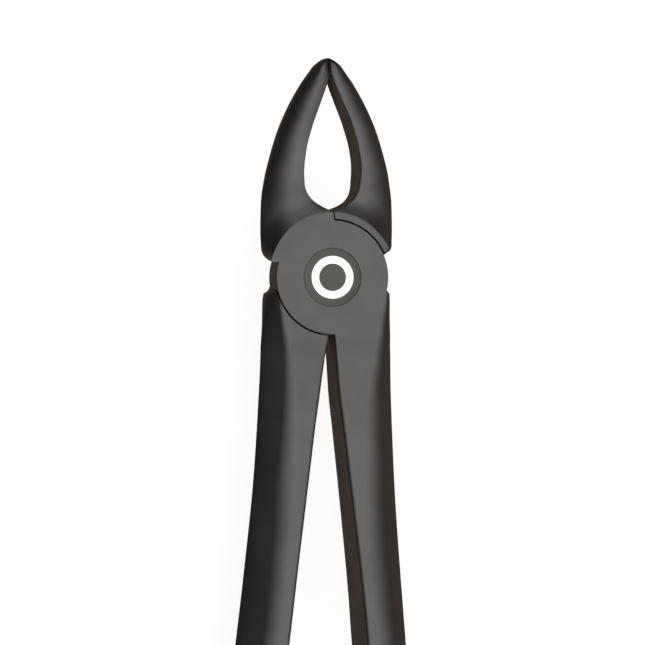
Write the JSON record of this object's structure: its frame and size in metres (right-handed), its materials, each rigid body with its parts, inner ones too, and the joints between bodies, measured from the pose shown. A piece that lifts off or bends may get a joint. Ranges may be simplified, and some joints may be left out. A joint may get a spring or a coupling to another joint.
{
  "type": "extraction forceps",
  "caption": "Dental extraction forceps: slim beaked jaws that close at the tips, a round lap joint with a flush countersunk pivot, and long bowed handles.",
  "frame": {"origin": "on the pivot axis, at the joint's rear face, where the screw's end is flush", "axes": "+Z along the pivot axis out of the joint's front face, +Y towards the tips of the jaws, +X to the right seen from the front"},
  "size_m": [0.0374, 0.175, 0.0225],
  "materials": {
    "coated_steel": "satin black wear-resistant coating on steel",
    "pivot_steel": "satin black coated steel, a little warmer than the halves"
  },
  "bodies": {
    "rear_body": {"rear_half": "coated_steel", "pivot_screw": "pivot_steel", "pivot_nut": "pivot_steel"},
    "front_body": {"front_half": "coated_steel"}
  },
  "joints": [
    {"name": "jaw_opening", "type": "hinge", "parent": "rear_body", "child": "front_body", "pos_m": [0, 0, 0], "axis": [0, 0, 1], "range_deg": [0, 26]}
  ]
}
